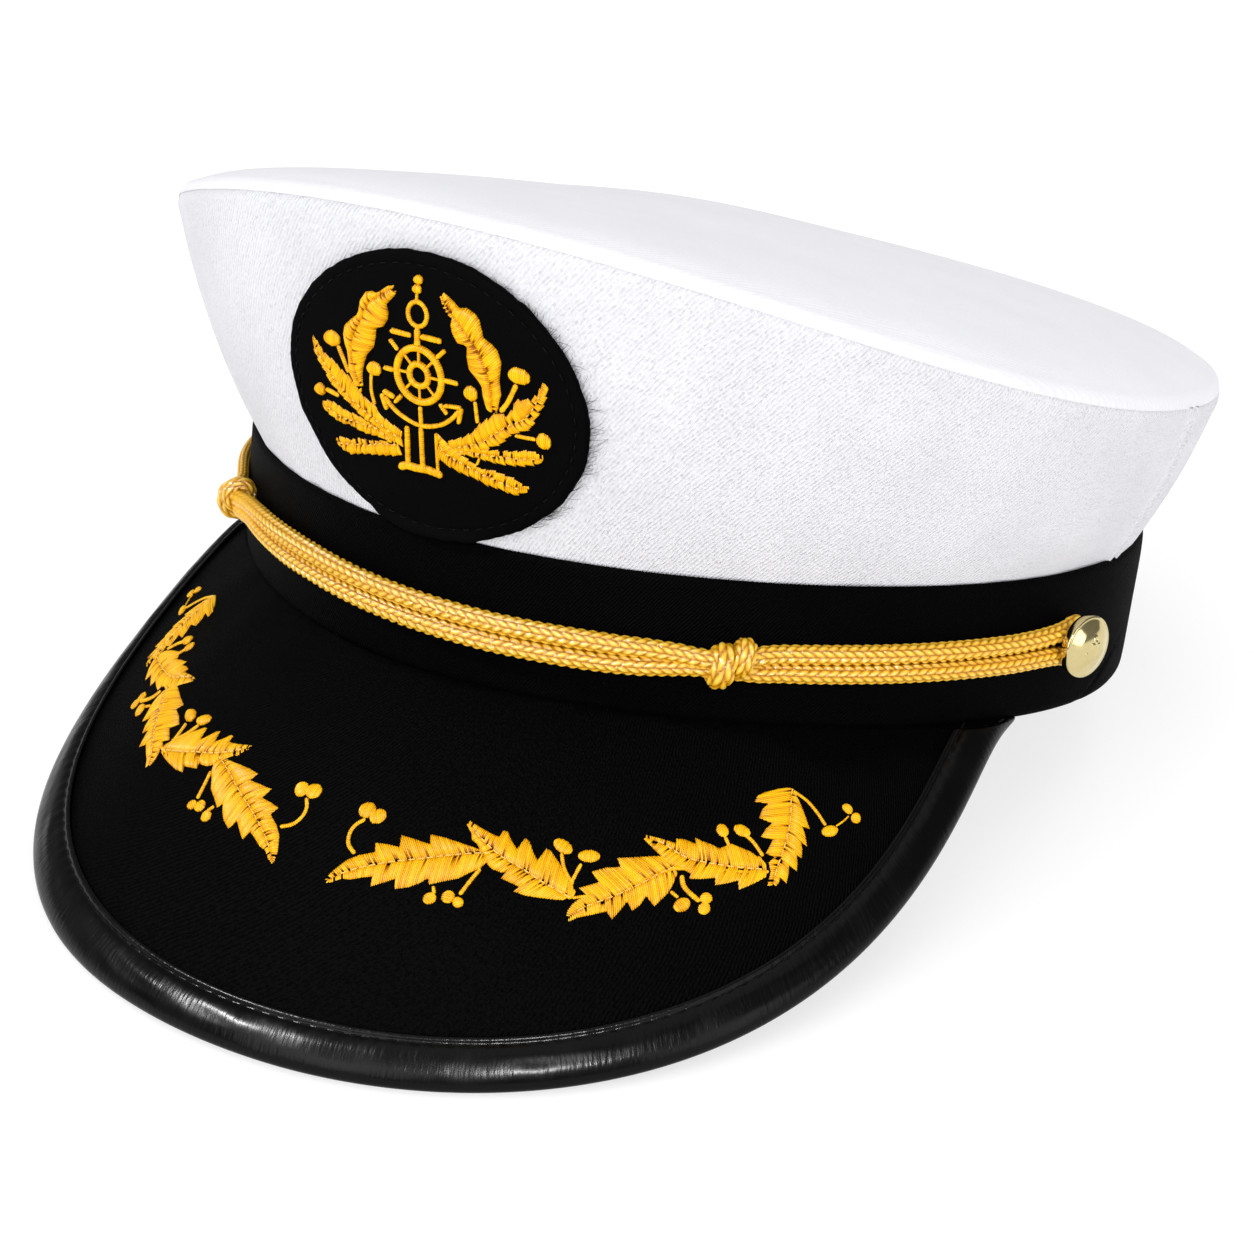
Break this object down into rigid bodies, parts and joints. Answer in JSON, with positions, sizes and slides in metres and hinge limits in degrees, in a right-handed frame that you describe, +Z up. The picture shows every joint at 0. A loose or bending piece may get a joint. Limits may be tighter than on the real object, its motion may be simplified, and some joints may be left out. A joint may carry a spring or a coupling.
{
  "type": "captain hat",
  "caption": "Captain hat with a flared white crown, black band and peak, gold cord between two buttons, oval anchor badge and gold leaf sprays.",
  "frame": {"origin": "middle of the bottom of the hat's box, on the surface it stands on", "axes": "+Z up, -Y the way the peak points, +X the wearer's left; the hat stands tipped back on the rim of its peak and the back of its band"},
  "size_m": [0.2034, 0.2672, 0.1301],
  "materials": {
    "white_cloth": "matt woven cotton",
    "black_cloth": "matt black twill",
    "binding": "glossy black coated edge binding",
    "gold_cord": "satin braided gold cord",
    "gold_thread": "satin gold embroidery thread",
    "badge_cloth": "black badge cloth",
    "brass": "polished pale brass"
  },
  "bodies": {
    "root": {"hat_band": "black_cloth", "crown_side_front": "white_cloth", "crown_side_back": "white_cloth", "crown_top": "white_cloth", "peak": "black_cloth", "peak_binding": "binding", "chin_cord": "gold_cord", "knot_left": "gold_cord", "knot_right": "gold_cord", "badge_patch": "badge_cloth", "badge_anchor": "gold_thread", "button_left": "brass", "badge_wreath_left": "gold_thread", "peak_spray_left": "gold_thread", "button_right": "brass", "badge_wreath_right": "gold_thread", "peak_spray_right": "gold_thread"}
  },
  "joints": []
}
